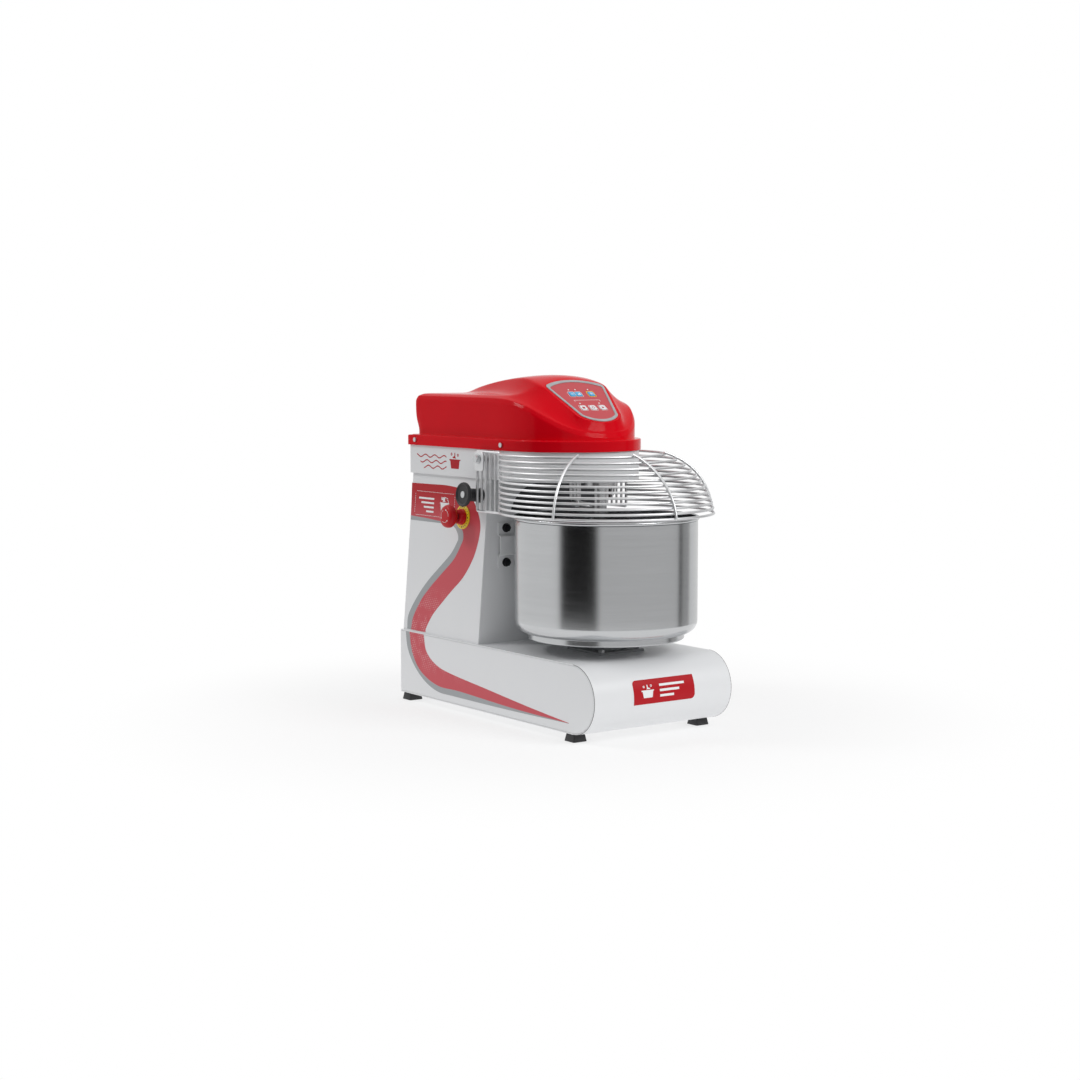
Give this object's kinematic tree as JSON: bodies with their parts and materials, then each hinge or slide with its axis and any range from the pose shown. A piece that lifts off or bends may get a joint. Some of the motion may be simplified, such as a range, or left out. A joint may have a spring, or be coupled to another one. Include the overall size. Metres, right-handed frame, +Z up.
{
  "type": "spiral dough mixer",
  "caption": "Bench spiral dough mixer with a turning steel bowl, spiral hook, breaker bar, lifting wire guard, key panel and emergency stop.",
  "frame": {"origin": "middle of the footprint of the whole machine, on the floor", "axes": "+Z up, +X to the right seen from the front, the nose of the base points to -Y"},
  "size_m": [0.3774, 0.6434, 0.6123],
  "materials": {
    "white_paint": "semi-gloss powder coat",
    "zinc_steel": "zinc plated",
    "black_rubber": "matt",
    "black_steel": "black oxide",
    "black_plastic": "matt",
    "grey_plastic": "satin",
    "red_plastic": "gloss",
    "panel_red": "satin film",
    "white_plastic": "satin",
    "blue_plastic": "satin",
    "light_lens": "clear lens",
    "board_green": "circuit board",
    "yellow_plastic": "gloss",
    "estop_red": "gloss",
    "bright_wire": "bright stainless wire",
    "stainless": "satin stainless",
    "cast_housing": "painted casting",
    "bearing_steel": "ground steel",
    "alloy": "turned",
    "belt_rubber": "matt",
    "hook_steel": "polished stainless",
    "motor_paint": "satin"
  },
  "bodies": {
    "root": {"base_wrap": "white_paint", "base_side_left": "white_paint", "base_side_right": "white_paint", "base_rear_panel": "white_paint", "base_chassis": "zinc_steel", "rubber_feet": "black_rubber", "foot_fasteners": "zinc_steel", "column_shell": "white_paint", "column_rear_cover": "white_paint", "front_brackets": "white_paint", "bracket_bolts": "black_steel", "guard_bumpers": "black_rubber", "cable_gland": "black_plastic", "pan_screws": "zinc_steel", "hex_bolts": "zinc_steel", "head_casing": "white_paint", "head_floor": "zinc_steel", "top_cover": "red_plastic", "panel_bezel": "grey_plastic", "panel_membrane": "panel_red", "panel_lights": "light_lens", "panel_board": "board_green", "estop_ring": "yellow_plastic", "estop_collar": "estop_red", "estop_contacts": "black_plastic", "guard_pivots": "zinc_steel", "bowl_housing": "cast_housing", "bowl_belt": "belt_rubber", "spindle_housing": "cast_housing", "spindle_seal": "black_rubber", "spiral_belt": "belt_rubber", "breaker_bar": "hook_steel", "bearings": "bearing_steel", "lower_bearing_block": "cast_housing", "motor_shelf": "zinc_steel", "gear_head": "cast_housing", "motor_body": "motor_paint", "control_box": "grey_plastic"},
    "guard": {"guard_frame_left": "bright_wire", "guard_frame_right": "bright_wire", "guard_wires": "bright_wire", "guard_ribs": "bright_wire"},
    "bowl": {"bowl": "stainless", "bowl_base_ring": "stainless", "bowl_hub": "zinc_steel", "bowl_screws": "zinc_steel", "bowl_pulley": "alloy"},
    "spiral": {"spiral_hook": "hook_steel", "spiral_pulley": "alloy"},
    "drive": {"drive_shaft": "bearing_steel", "drive_pulleys": "alloy"},
    "estop_plunger": {"estop_stem": "black_plastic"},
    "estop_head": {"estop_cap": "estop_red"},
    "key_white_left_body": {"key_white_left": "white_plastic"},
    "key_white_middle_body": {"key_white_middle": "white_plastic"},
    "key_white_right_body": {"key_white_right": "white_plastic"},
    "key_blue_left_body": {"key_blue_left": "blue_plastic"},
    "key_blue_middle_body": {"key_blue_middle": "blue_plastic"},
    "key_blue_right_body": {"key_blue_right": "blue_plastic"}
  },
  "joints": [
    {"name": "bowl_spin", "type": "hinge", "parent": "root", "child": "bowl", "pos_m": [0, -0.12698, 0.166], "axis": [0, 0, 1], "continuous": true},
    {"name": "spiral_spin", "type": "hinge", "parent": "root", "child": "spiral", "pos_m": [0, -0.03508, 0.4273], "axis": [0, 0, 1], "continuous": true},
    {"name": "drive_spin", "type": "hinge", "parent": "root", "child": "drive", "pos_m": [0, 0.16093, 0.4273], "axis": [0, 0, 1], "continuous": true},
    {"name": "guard_tilt", "type": "hinge", "parent": "root", "child": "guard", "pos_m": [0, 0.05593, 0.464], "axis": [-1, 0, 0], "range_deg": [0, 75]},
    {"name": "estop_push", "type": "slide", "parent": "root", "child": "estop_plunger", "axis": [0.9968, 0, -0.0794], "range_m": [0, 0.005], "stiffness_N_per_m": 600, "springref_m": -0.003},
    {"name": "estop_twist", "type": "hinge", "parent": "estop_plunger", "child": "estop_head", "pos_m": [-0.1472, 0.13093, 0.35659], "axis": [-0.9968, 0, 0.0794], "range_deg": [0, 45], "stiffness_Nm_per_rad": 0.1, "springref_deg": -5.73},
    {"name": "key_white_left_press", "type": "slide", "parent": "root", "child": "key_white_left_body", "axis": [0, 0.5664, -0.8241], "range_m": [0, 0.0005], "stiffness_N_per_m": 600, "springref_m": -0.0005},
    {"name": "key_white_middle_press", "type": "slide", "parent": "root", "child": "key_white_middle_body", "axis": [0, 0.5664, -0.8241], "range_m": [0, 0.0005], "stiffness_N_per_m": 600, "springref_m": -0.0005},
    {"name": "key_white_right_press", "type": "slide", "parent": "root", "child": "key_white_right_body", "axis": [0, 0.5664, -0.8241], "range_m": [0, 0.0005], "stiffness_N_per_m": 600, "springref_m": -0.0005},
    {"name": "key_blue_left_press", "type": "slide", "parent": "root", "child": "key_blue_left_body", "axis": [0, 0.5664, -0.8241], "range_m": [0, 0.0005], "stiffness_N_per_m": 600, "springref_m": -0.0005},
    {"name": "key_blue_middle_press", "type": "slide", "parent": "root", "child": "key_blue_middle_body", "axis": [0, 0.5664, -0.8241], "range_m": [0, 0.0005], "stiffness_N_per_m": 600, "springref_m": -0.0005},
    {"name": "key_blue_right_press", "type": "slide", "parent": "root", "child": "key_blue_right_body", "axis": [0, 0.5664, -0.8241], "range_m": [0, 0.0005], "stiffness_N_per_m": 600, "springref_m": -0.0005}
  ],
  "couplings": [
    {"joint": "spiral_spin", "follows": "bowl_spin", "ratio": 5.8},
    {"joint": "drive_spin", "follows": "bowl_spin", "ratio": 5.8}
  ]
}
